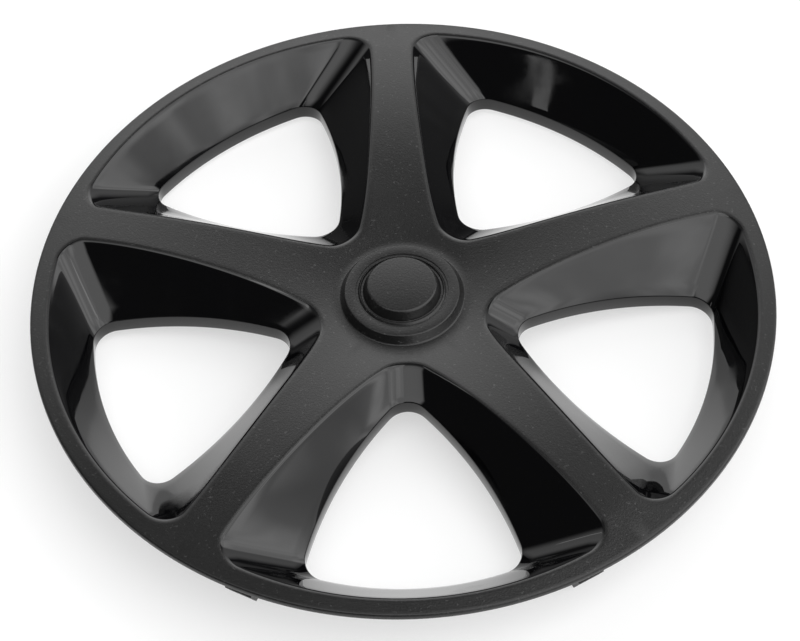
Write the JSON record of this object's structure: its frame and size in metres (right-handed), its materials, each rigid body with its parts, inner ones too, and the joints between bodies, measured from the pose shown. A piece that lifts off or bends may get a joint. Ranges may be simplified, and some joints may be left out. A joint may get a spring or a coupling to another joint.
{
  "type": "wheel cover",
  "caption": "Moulded black plastic wheel cover with spokes, open windows and a plain hub boss; barbed legs and a spring wire hoop snap it into a steel wheel's rim.",
  "frame": {"origin": "on the cover's axis, at the level of the retaining legs' feet, where the cover lies on a flat surface", "axes": "+Z along the axis, out of the wheel; +Y along one spoke"},
  "size_m": [0.4, 0.4, 0.0466],
  "materials": {
    "cover_plastic": "satin black face, gloss black pockets",
    "spring_wire": "bright zinc-plated spring wire"
  },
  "bodies": {
    "root": {"cover": "cover_plastic", "tension_ring": "spring_wire"}
  },
  "joints": []
}
